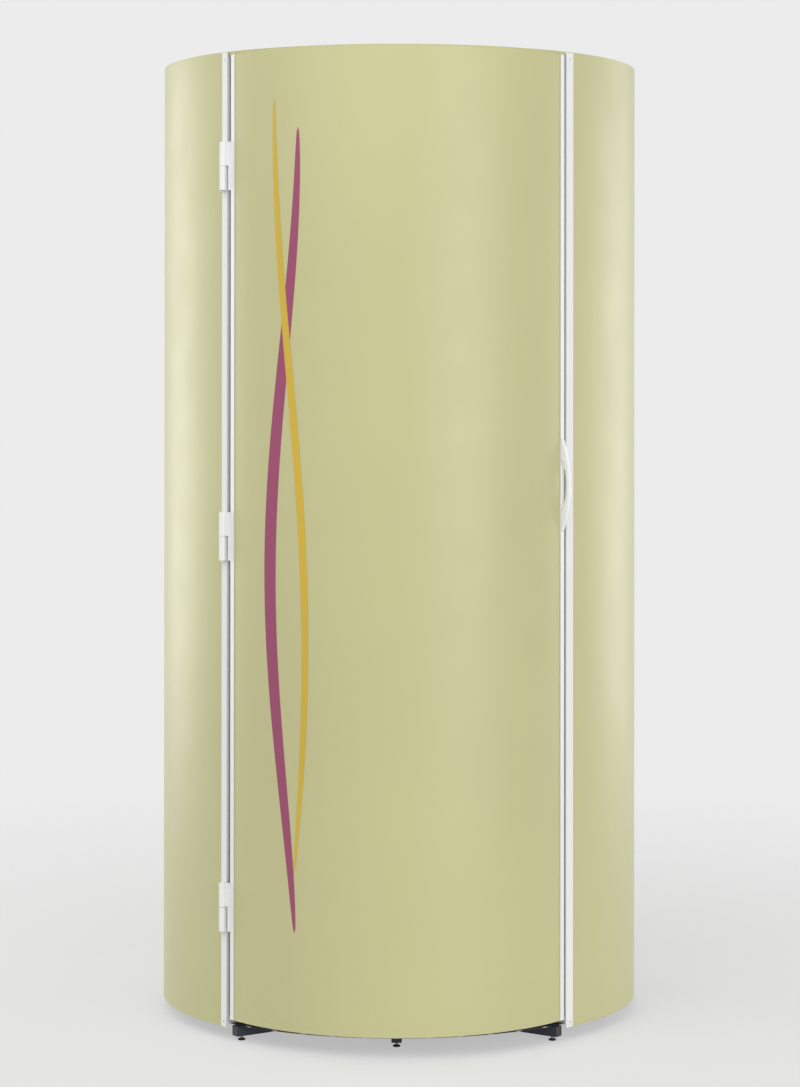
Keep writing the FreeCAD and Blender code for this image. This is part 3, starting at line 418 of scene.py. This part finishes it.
def hinges():
    """Lift-off hinges: the door's knuckle and leaf above, the jamb's knuckle below."""
    door_side = bmesh.new()
    jamb_side = bmesh.new()
    for level in HINGE_LEVELS:
        place = round_the_axis(HINGE_ANGLE, HINGE_REACH, level)
        knuckle(door_side, HINGE_GAP_TOP, HINGE_HALF, place)
        prism(door_side, FLANGE, HINGE_GAP_TOP, HINGE_HALF, place)
        prism(door_side, LEAF, -HINGE_HALF, HINGE_GAP_TOP, place)
        knuckle(jamb_side, -HINGE_HALF, HINGE_GAP_LOW, place)
        prism(jamb_side, BLOCK, -HINGE_HALF, HINGE_GAP_LOW, place)
    finished("hinge_door_side", door_side, "profile_white", "door", ["hinge_upper_knuckles"])
    finished("hinge_jamb_side", jamb_side, "profile_white", "booth", ["hinge_lower_knuckles"])


# ---------------------------------------------------------------- feet

ARM_ANGLE = 40.64
ARM_REACH = 511.9
BEAM_REACH = 450.0
FEET = {
    "front": (0.0, BEAM_REACH),
    "front_right": (ARM_ANGLE, ARM_REACH),
    "front_left": (-ARM_ANGLE, ARM_REACH),
    "rear": (180.0, BEAM_REACH),
    "rear_right": (180.0 - ARM_ANGLE, ARM_REACH),
    "rear_left": (180.0 + ARM_ANGLE, ARM_REACH),
}
# Radius and height, in millimetres.
PAD = [(0.0, 0.0), (7.2, 0.0), (8.0, 0.8), (8.0, 2.4), (7.0, 3.4), (4.6, 4.1), (4.3, 4.5), (0.0, 4.5)]
THREAD_PITCH = 1.25
THREAD_CREST = 3.0
THREAD_ROOT = 2.5


def foot(name, angle, reach):
    """A levelling foot: a moulded pad with a threaded stud."""
    place = round_the_axis(angle, reach, 0.0)
    pad = bmesh.new()
    lathe(pad, PAD, place)
    finished(f"pad_{name}", pad, "black_plastic", f"foot_{name}", [f"foot_{name}"])
    stud = bmesh.new()
    thread = [(0.0, 4.5), (THREAD_ROOT, 4.5)]
    level = 5.0
    while level < 24.0:
        thread += [(THREAD_ROOT, level), (THREAD_CREST, level + THREAD_PITCH / 2.0)]
        level += THREAD_PITCH
    thread += [(THREAD_ROOT, 25.0), (2.0, 25.5), (0.0, 25.5)]
    lathe(stud, thread, place, 16)
    finished(f"stud_{name}", stud, "bare_steel", f"foot_{name}", [f"foot_{name}"])


def feet():
    for name, (angle, reach) in FEET.items():
        foot(name, angle, reach)


# ---------------------------------------------------------------- lamps

LAMP_CIRCLE = 467.0
LAMP_LOW = 93.75
LAMP_HIGH = 1856.75
LAMP_RADIUS = 19.0
LAMP_CAP = 20.0
LAMP_SIDES = 20
GLASS_RADIUS = LAMP_RADIUS - 0.6
GLASS_NECK = LAMP_RADIUS - 2.0


def lamps(name, body, middle, pitch, count):
    """A bank of fluorescent tubes, each with a metal cap at both ends."""
    tubes = bmesh.new()
    caps = bmesh.new()
    for k in range(count):
        angle = middle + pitch * (k - (count - 1) / 2.0)
        place = round_the_axis(angle, LAMP_CIRCLE, 0.0)
        low, high = LAMP_LOW + LAMP_CAP, LAMP_HIGH - LAMP_CAP
        glass = [(GLASS_NECK, low - 4.0), (GLASS_RADIUS, low)]
        glass += [(GLASS_RADIUS, high), (GLASS_NECK, high + 4.0)]
        lathe(tubes, glass, place, LAMP_SIDES)
        for end, inward in ((LAMP_LOW, 1.0), (LAMP_HIGH, -1.0)):
            cap = [(0.0, end), (LAMP_RADIUS - 2.0, end), (LAMP_RADIUS, end + 2.0 * inward)]
            cap.append((LAMP_RADIUS, end + LAMP_CAP * inward))
            cap.append((LAMP_RADIUS - 1.5, end + (LAMP_CAP + 1.0) * inward))
            lathe(caps, cap, place, LAMP_SIDES)
    finished(f"{name}_tubes", tubes, "lamp_glass", body, [name])
    finished(f"{name}_caps", caps, "bright_aluminium", body, [name])


# ---------------------------------------------------------------- roof fittings

ROOF_TOP = 2122.0
FLANGE_HALF = 139.0
FLANGE_CORNER = 12.0
FLANGE_SHEET = 1.5
CORNER_STEPS = 8
SIDE_STEPS = 14
COLLAR_BORE = 123.5
COLLAR_TUBE = 125.0
GLAND_REACH = 400.0
GLAND_BORE = 8.0
GLAND_CAP = [(14.4, 7.0), (14.6, 8.6), (12.0, 9.2), (12.0, 17.0), (11.2, 20.0), (9.6, 21.8)]
GLAND_RIB = [(11.6, -1.4), (13.2, -1.1), (13.2, 1.1), (11.6, 1.4)]
LIP_INNER = 533.2
LIP_OUTER = 534.6
LIP_LOW = 2115.4
LIP_HIGH = 2120.5
LIP_HALF = 42.6
LIP_STEPS = 60


def rounded_square(half, corner):
    """The outline of a square with rounded corners and points along its sides."""
    arcs = []
    for quarter in range(4):
        middle = math.radians(45.0 + 90.0 * quarter)
        centre = Vector((math.cos(middle), math.sin(middle))) * (half - corner) * math.sqrt(2.0)
        steps = range(CORNER_STEPS + 1)
        turns = [math.radians(90.0 * quarter + 90.0 * k / CORNER_STEPS) for k in steps]
        arcs.append([centre + Vector((math.cos(turn), math.sin(turn))) * corner for turn in turns])
    outline = []
    for arc, after in zip(arcs, arcs[1:] + arcs[:1]):
        outline += arc
        outline += [arc[-1].lerp(after[0], k / SIDE_STEPS) for k in range(1, SIDE_STEPS)]
    return outline


def screw_head(work, place, radius=4.0, rise=2.2):
    """A domed screw head with a shallow round recess."""
    shares = [(1.0, 0.0), (1.0, 0.35), (0.8, 0.8), (0.45, 1.0), (0.35, 1.0), (0.3, 0.45), (0.0, 0.45)]
    profile = [(radius * across, rise * up) for across, up in shares]
    lathe(work, profile, place, 20)


def duct_collar():
    """Spun duct collar: a square flange, a bead below the mouth and a rolled lip."""
    work = bmesh.new()
    place = at(0.0, 0.0, ROOF_TOP)
    rings = []
    for inner, height in ((COLLAR_BORE, 0.0), (COLLAR_TUBE, FLANGE_SHEET)):
        ring = []
        for x, y in rounded_square(FLANGE_HALF, FLANGE_CORNER):
            turn = math.atan2(y, x)
            mouth = Vector((inner * math.cos(turn), inner * math.sin(turn), height))
            edge = work.verts.new(place @ (Vector((x, y, height)) * MM))
            ring.append((edge, work.verts.new(place @ (mouth * MM))))
        rings.append(ring)
    count = len(rings[0])
    for k in range(count):
        after = (k + 1) % count
        for ring in rings:
            (a, b), (c, d) = ring[k], ring[after]
            work.faces.new((a, c, d, b))
        low, high = rings
        work.faces.new((low[k][0], low[after][0], high[after][0], high[k][0]))
    bead = COLLAR_TUBE + 1.4
    tube = [(COLLAR_BORE, 0.0), (COLLAR_BORE, 28.0), (COLLAR_BORE + 0.8, 29.5)]
    tube += [(COLLAR_TUBE, 29.9), (COLLAR_TUBE + 0.6, 29.0), (COLLAR_TUBE, 27.6)]
    tube += [(COLLAR_TUBE, 22.0), (bead, 20.4), (bead, 19.2), (COLLAR_TUBE, 17.6)]
    tube += [(COLLAR_TUBE, FLANGE_SHEET)]
    lathe(work, tube, place, 72)
    spread = (FLANGE_HALF - FLANGE_CORNER) * math.sqrt(2.0)
    for k in range(4):
        turn = math.radians(45.0 + 90.0 * k)
        screw_head(work, at(spread * math.cos(turn), spread * math.sin(turn), ROOF_TOP + FLANGE_SHEET))
    finished("duct_collar_spun", work, "bare_steel", "booth", ["duct_collar"])


def cable_gland():
    """Cable gland: a threaded neck, a hexagon and a domed, ribbed cap."""
    place = at(0.0, GLAND_REACH, ROOF_TOP)
    work = bmesh.new()
    neck = [(GLAND_BORE, -14.0), (11.6, -14.0)]
    for turn in range(6):
        neck += [(11.2, -13.0 + 2.0 * turn), (12.0, -12.0 + 2.0 * turn)]
    neck += [(12.0, 0.0), (GLAND_BORE, 0.0)]
    lathe(work, neck, place)
    cap = [(GLAND_BORE, 7.0)] + GLAND_CAP + [(GLAND_BORE, 22.0), (GLAND_BORE, 7.0)]
    lathe(work, cap, place)
    for k in range(6):
        prism(work, GLAND_RIB, 9.4, 17.0, place @ at(0, 0, 0, 60.0 * k))
    finished("gland_cap", work, "black_plastic", "booth", ["cable_gland"])
    nut = bmesh.new()
    prism(nut, polygon(6, 16.9), 0.0, 7.0, place)
    finished("gland_hexagon", nut, "black_plastic", "booth", ["cable_gland"], 0.6)


def roof_lip():
    """The roof plate's turned-down lip over the door, which hides the gap there."""
    work = bmesh.new()
    section = [(LIP_INNER, LIP_LOW), (LIP_OUTER, LIP_LOW)]
    section += [(LIP_OUTER, LIP_HIGH), (LIP_INNER, LIP_HIGH)]
    rows = []
    for k in range(LIP_STEPS + 1):
        turn = math.radians(-LIP_HALF + 2.0 * LIP_HALF * k / LIP_STEPS)
        spots = [Vector((r * math.sin(turn), -r * math.cos(turn), z)) * MM for r, z in section]
        rows.append([work.verts.new(spot) for spot in spots])
    work.faces.new(rows[0])
    work.faces.new(rows[-1])
    for first, second in zip(rows, rows[1:]):
        for k in range(4):
            work.faces.new((first[k], first[(k + 1) % 4], second[(k + 1) % 4], second[k]))
    finished("roof_lip", work, "casing_paint", "booth")


# ---------------------------------------------------------------- fan

ROTOR_LEVEL = 2085.0
HUB_RADIUS = 40.0
HUB_HALF = 19.0
BLADE_REACH = 115.5
BLADE_ROOT = HUB_RADIUS - 4.0
BLADE_COUNT = 6
BLADE_ACROSS = 8
BLADE_ALONG = 10
ROOT_PITCH, TIP_PITCH = 44.0, 24.0
ROOT_CHORD, TIP_CHORD = 36.0, 70.0
BLADE_CAMBER = 5.0
BLADE_HALF_THICK = 0.9
BLADE_DROP = 3.0


def fan_blade(work, place):
    """A cambered blade that twists and widens from hub to tip, and thins to its edges."""
    sides = {1.0: [], -1.0: []}
    for row in range(BLADE_ALONG + 1):
        share = row / BLADE_ALONG
        radius = BLADE_ROOT + (BLADE_REACH - BLADE_ROOT) * share
        pitch = math.radians(ROOT_PITCH + (TIP_PITCH - ROOT_PITCH) * share)
        chord = ROOT_CHORD + (TIP_CHORD - ROOT_CHORD) * share
        for face in sides:
            line = []
            for column in range(BLADE_ACROSS + 1):
                offset = column / BLADE_ACROSS - 0.5
                bulge = max(1.0 - 4.0 * offset ** 2, 0.0)
                width = chord * offset
                depth = BLADE_CAMBER * bulge + face * BLADE_HALF_THICK * math.sqrt(bulge)
                rise = width * math.sin(pitch) + depth * math.cos(pitch) - BLADE_DROP
                around = width * math.cos(pitch) - depth * math.sin(pitch)
                rise = max(min(rise, HUB_HALF), -HUB_HALF)
                turn = around / radius
                spot = Vector((radius * math.sin(turn), radius * math.cos(turn), rise))
                line.append(work.verts.new(place @ (spot * MM)))
            sides[face].append(line)
    for lines in sides.values():
        for lower, upper in zip(lines, lines[1:]):
            for k in range(BLADE_ACROSS):
                work.faces.new((lower[k], lower[k + 1], upper[k + 1], upper[k]))
    upper, lower = sides[1.0][-1], sides[-1.0][-1]
    for k in range(BLADE_ACROSS):
        work.faces.new((upper[k], upper[k + 1], lower[k + 1], lower[k]))


def fan_rotor():
    """Moulded rotor: a hub with a rounded crown and a recess, and six twisted blades."""
    work = bmesh.new()
    place = at(0.0, 0.0, ROTOR_LEVEL)
    hub = [(0.0, -HUB_HALF), (HUB_RADIUS - 1.0, -HUB_HALF), (HUB_RADIUS, -HUB_HALF + 1.0)]
    hub += [(HUB_RADIUS, HUB_HALF - 7.0), (HUB_RADIUS - 2.0, HUB_HALF - 2.5)]
    hub += [(HUB_RADIUS - 7.0, HUB_HALF), (14.0, HUB_HALF)]
    hub += [(13.0, HUB_HALF - 3.0), (0.0, HUB_HALF - 3.0)]
    lathe(work, hub, place, 48)
    for k in range(BLADE_COUNT):
        fan_blade(work, place @ at(0.0, 0.0, 0.0, 360.0 * k / BLADE_COUNT))
    bmesh.ops.remove_doubles(work, verts=work.verts, dist=0.002 * MM)
    finished("rotor_moulded", work, "black_plastic", "fan_rotor", ["fan_rotor"])


def fan_motor():
    """Can motor with a rounded cover, cooling ribs and a shaft."""
    work = bmesh.new()
    can = [(0.0, 2030.0), (40.0, 2030.0), (44.5, 2031.5), (46.0, 2035.0)]
    for rib in range(6):
        level = 2038.0 + 3.2 * rib
        can += [(46.0, level), (44.6, level + 0.5), (44.6, level + 1.6), (46.0, level + 2.1)]
    can += [(46.0, 2058.0), (44.0, 2061.0), (40.0, 2062.0)]
    can += [(5.0, 2062.0), (5.0, 2095.0), (4.4, 2096.0), (0.0, 2096.0)]
    lathe(work, can, Matrix.Identity(4), 48)
    finished("motor_can", work, "motor_iron", "booth", ["fan_motor"])


# ---------------------------------------------------------------- small fastenings

BUTTONS = {"stop_button": (1277.0, "stop_red"), "start_button": (1223.0, "start_green")}
POD_ANGLE = 135.0
PANEL_SCREW_ANGLE = 136.2
PANEL_SCREW_LEVELS = (120.0, 1050.0, 1980.0)
PANEL_FACE = 535.0
STRIP_FACE = 536.6
STRIP_SCREWS = {
    "jamb_screw_heads": ("booth", 43.9, (40.0, 2106.0)),
    "door_screw_heads": ("door", 41.2, (58.0, 2100.0)),
}
# Radius and height, in millimetres.
BUTTON = [(0.0, -6.5), (11.0, -6.5), (11.0, 4.6), (10.4, 6.2), (8.6, 7.0), (5.0, 7.4), (0.0, 7.5)]


def buttons():
    """Domed push buttons on short stems."""
    for node, (level, finish) in BUTTONS.items():
        work = bmesh.new()
        low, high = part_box(node)
        centre = (low + high) / 2.0 / MM
        lathe(work, BUTTON, at(centre.x, centre.y, level, POD_ANGLE + 180.0) @ LYING, 40)
        finished(f"{node}_cap", work, finish, node, [node])


def fastenings():
    """Screws of the service panel, and of the edge strips at their tops and feet."""
    panel = bmesh.new()
    for side in (-1.0, 1.0):
        for level in PANEL_SCREW_LEVELS:
            place = round_the_axis(side * PANEL_SCREW_ANGLE, PANEL_FACE, level) @ LYING
            screw_head(panel, place, 4.0, 1.6)
    finished("panel_screw_heads", panel, "bare_steel", "booth", ["service_panel_screws"])
    for name, (body, angle, levels) in STRIP_SCREWS.items():
        work = bmesh.new()
        for side in (-1.0, 1.0):
            for level in levels:
                screw_head(work, round_the_axis(side * angle, STRIP_FACE, level) @ LYING, 2.6, 0.9)
        finished(name, work, "bare_steel", body)


ROUNDED_NODES = {
    "bow_handle": 1.6,
    "base_beam_long": 1.2,
    "base_cross_beam_left": 1.2,
    "base_cross_beam_right": 1.2,
    "beam_end_plugs": 0.8,
    "control_pod": 2.5,
    "standing_platform": 1.5,
    "floor_mat": 1.0,
    "supply_box": 1.5,
    "ballasts": 1.5,
    "cabin_lamp_holders": 1.2,
    "door_lamp_holders": 1.2,
    "catch_magnets": 0.8,
}


def round_edges():
    for node, width in ROUNDED_NODES.items():
        soften(frame["nodes"][node], width)


# ---------------------------------------------------------------- stage, light and camera

BACKGROUND = (0.838, 0.838, 0.838, 1.0)
AMBIENT = 0.42
SHADOW_KEPT = 0.45
FLOOR_REACH = 9.0
FLOOR_DROP = 0.2
FADE_FROM, FADE_TO = 0.9, 3.6


def link_background(tree, light_path):
    """1 for camera, mirror and see-through rays, which see the background's own grey."""
    seen = light_path.outputs["Is Camera Ray"]
    for kind in ("Is Glossy Ray", "Is Transmission Ray"):
        either = tree.nodes.new("ShaderNodeMath")
        either.operation = "MAXIMUM"
        tree.links.new(seen, either.inputs[0])
        tree.links.new(light_path.outputs[kind], either.inputs[1])
        seen = either.outputs[0]
    return seen


def surroundings():
    """Even pale light all round, seen as the background's grey."""
    world = bpy.data.worlds.new("studio")
    bpy.context.scene.world = world
    world.use_nodes = True
    tree = world.node_tree
    tree.nodes.clear()
    seen = tree.nodes.new("ShaderNodeBackground")
    seen.inputs["Color"].default_value = BACKGROUND
    lit = tree.nodes.new("ShaderNodeBackground")
    lit.inputs["Color"].default_value = (1.0, 1.0, 1.0, 1.0)
    lit.inputs["Strength"].default_value = AMBIENT
    mix = tree.nodes.new("ShaderNodeMixShader")
    output = tree.nodes.new("ShaderNodeOutputWorld")
    tree.links.new(link_background(tree, tree.nodes.new("ShaderNodeLightPath")), mix.inputs[0])
    tree.links.new(lit.outputs[0], mix.inputs[1])
    tree.links.new(seen.outputs[0], mix.inputs[2])
    tree.links.new(mix.outputs[0], output.inputs["Surface"])


def area_light(name, place, aim, size, power):
    data = bpy.data.lights.new(name, "AREA")
    data.shape = "RECTANGLE"
    data.size, data.size_y = size
    data.energy = power
    lamp = bpy.data.objects.new(name, data)
    bpy.context.collection.objects.link(lamp)
    lamp.location = place
    lamp.rotation_euler = (Vector(aim) - Vector(place)).to_track_quat("-Z", "Y").to_euler()


# Place, aim, size and power.
LIGHTS = {
    "left": ((-4.3, 2.5, 1.4), (0.0, 0.0, 1.4), (3.0, 2.7), 76.0),
    "right": ((4.3, 2.5, 1.4), (0.0, 0.0, 1.4), (3.0, 2.7), 66.0),
    "front_right": ((3.9, -5.2, 1.5), (0.0, 0.0, 1.4), (4.0, 2.5), 124.0),
    "top": ((-1.8, -3.7, 4.7), (0.0, 0.0, 1.7), (6.4, 4.6), 165.0),
}


def lights():
    """Upright soft boxes behind both sides, one in front to the right, and a broad top light."""
    for name, settings in LIGHTS.items():
        area_light(name, *settings)


def floor():
    """A pale round floor that keeps a soft shadow and fades into the background."""
    work = bmesh.new()
    bmesh.ops.create_circle(work, cap_ends=True, radius=FLOOR_REACH, segments=96)
    mesh = to_mesh("floor", work)
    disc = bpy.data.objects.new("floor", mesh)
    bpy.context.collection.objects.link(disc)
    disc.location.z = -FLOOR_DROP * MM
    finish = Finish("floor", roughness=0.9)
    finish.colour((0.80, 0.80, 0.80, 1.0))
    glow = finish.tree.nodes.new("ShaderNodeEmission")
    glow.inputs["Color"].default_value = BACKGROUND
    seen = link_background(finish.tree, finish.tree.nodes.new("ShaderNodeLightPath"))
    share = finish.node("Math", {0: seen, 1: 1.0 - SHADOW_KEPT}, operation="MULTIPLY")
    lifted = finish.tree.nodes.new("ShaderNodeMixShader")
    finish.put(lifted, {0: share, 1: finish.shader.outputs[0], 2: glow.outputs[0]})
    reach = finish.node("VectorMath", {0: finish.place}, "Value", operation="LENGTH")
    fade = finish.ramp(reach, FADE_FROM, FADE_TO, 0.0, 1.0)
    clear = finish.tree.nodes.new("ShaderNodeBsdfTransparent")
    blend = finish.tree.nodes.new("ShaderNodeMixShader")
    output = next(n for n in finish.tree.nodes if n.type == "OUTPUT_MATERIAL")
    finish.put(blend, {0: fade, 1: lifted.outputs[0], 2: clear.outputs[0]})
    finish.tree.links.new(blend.outputs[0], output.inputs["Surface"])
    mesh.materials.append(finish.material)


CAMERA_PLACE = (0.0775, -6.5657, 1.3816)
CAMERA_HEADING = 0.154
CAMERA_PITCH = 0.266
CAMERA_ROLL = 0.043
FOCAL_LENGTH = 95.2
FRAME_SHIFT = (-0.02375, -0.1476)


def camera():
    """The photograph's view, fitted to the booth's outline."""
    data = bpy.data.cameras.new("camera")
    data.sensor_width = 36.0
    data.lens = FOCAL_LENGTH
    data.shift_x, data.shift_y = FRAME_SHIFT
    data.clip_end = 100.0
    seat = bpy.data.objects.new("camera", data)
    bpy.context.collection.objects.link(seat)
    turn = Matrix.Rotation(math.radians(CAMERA_HEADING), 4, "Z")
    turn @= Matrix.Rotation(math.radians(90.0 + CAMERA_PITCH), 4, "X")
    turn @= Matrix.Rotation(math.radians(CAMERA_ROLL), 4, "Z")
    seat.matrix_world = Matrix.Translation(CAMERA_PLACE) @ turn
    bpy.context.scene.camera = seat


camera()
dress_nodes()
round_edges()
door_ribbons()
hinges()
feet()
lamps("cabin_lamps", "booth", 180.0, 10.0, 27)
lamps("door_lamps", "door", 0.0, 10.4, 7)
duct_collar()
cable_gland()
roof_lip()
fan_rotor()
fan_motor()
buttons()
fastenings()
surroundings()
lights()
floor()
bpy.context.scene.view_settings.view_transform = "Standard"
